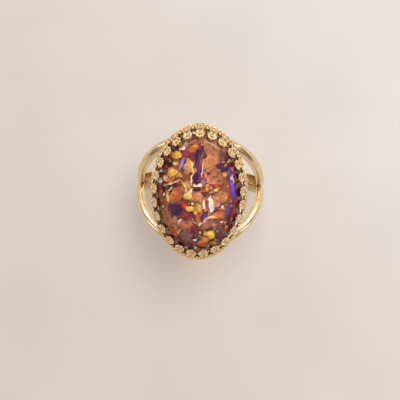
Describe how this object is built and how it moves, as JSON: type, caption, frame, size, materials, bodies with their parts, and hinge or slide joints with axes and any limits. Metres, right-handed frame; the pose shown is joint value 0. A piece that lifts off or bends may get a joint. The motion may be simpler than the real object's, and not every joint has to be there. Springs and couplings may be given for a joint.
{
  "type": "cocktail ring",
  "caption": "Oval domed mosaic glass stone in a beaded lace-edge claw setting, on a split shank of polished rails.",
  "frame": {"origin": "centre of the finger hole, half way along it", "axes": "+Y along the finger towards its tip, +Z from the finger out through the stone"},
  "size_m": [0.0198, 0.0206, 0.0246],
  "materials": {
    "gold_metal": "polished pale gold plating",
    "gold_solder": "satin plated solder",
    "foil": "crinkled metallic foil",
    "leaf": "torn metal leaf",
    "base_glass": "dark red-brown glass",
    "tan_glass": "warm tan glass",
    "amber_glass": "amber glass",
    "gold_glass": "yellow gold glass",
    "violet_glass": "violet glass",
    "maroon_glass": "maroon glass",
    "clear_glass": "clear polished glass"
  },
  "bodies": {
    "root": {"fingertip_rail": "gold_metal", "knuckle_rail": "gold_metal", "back_solder": "gold_solder", "shoulder_solders": "gold_solder", "base_plate": "gold_metal", "gallery_wall": "gold_metal", "wall_solder": "gold_solder", "foil_backing": "foil", "base_glass": "base_glass", "tan_chips": "tan_glass", "amber_chips": "amber_glass", "gold_chips": "gold_glass", "violet_chips": "violet_glass", "maroon_chips": "maroon_glass", "gold_leaf": "leaf", "glass_dome": "clear_glass", "prong_1": "gold_metal", "prong_2": "gold_metal", "prong_3": "gold_metal", "prong_4": "gold_metal", "prong_5": "gold_metal", "prong_6": "gold_metal", "prong_7": "gold_metal", "prong_8": "gold_metal", "prong_9": "gold_metal", "prong_10": "gold_metal", "prong_11": "gold_metal", "prong_12": "gold_metal", "prong_13": "gold_metal", "prong_14": "gold_metal", "prong_15": "gold_metal", "prong_16": "gold_metal", "prong_17": "gold_metal", "prong_18": "gold_metal", "prong_19": "gold_metal", "prong_20": "gold_metal", "prong_21": "gold_metal", "prong_22": "gold_metal", "prong_23": "gold_metal", "prong_24": "gold_metal", "prong_25": "gold_metal"}
  },
  "joints": []
}
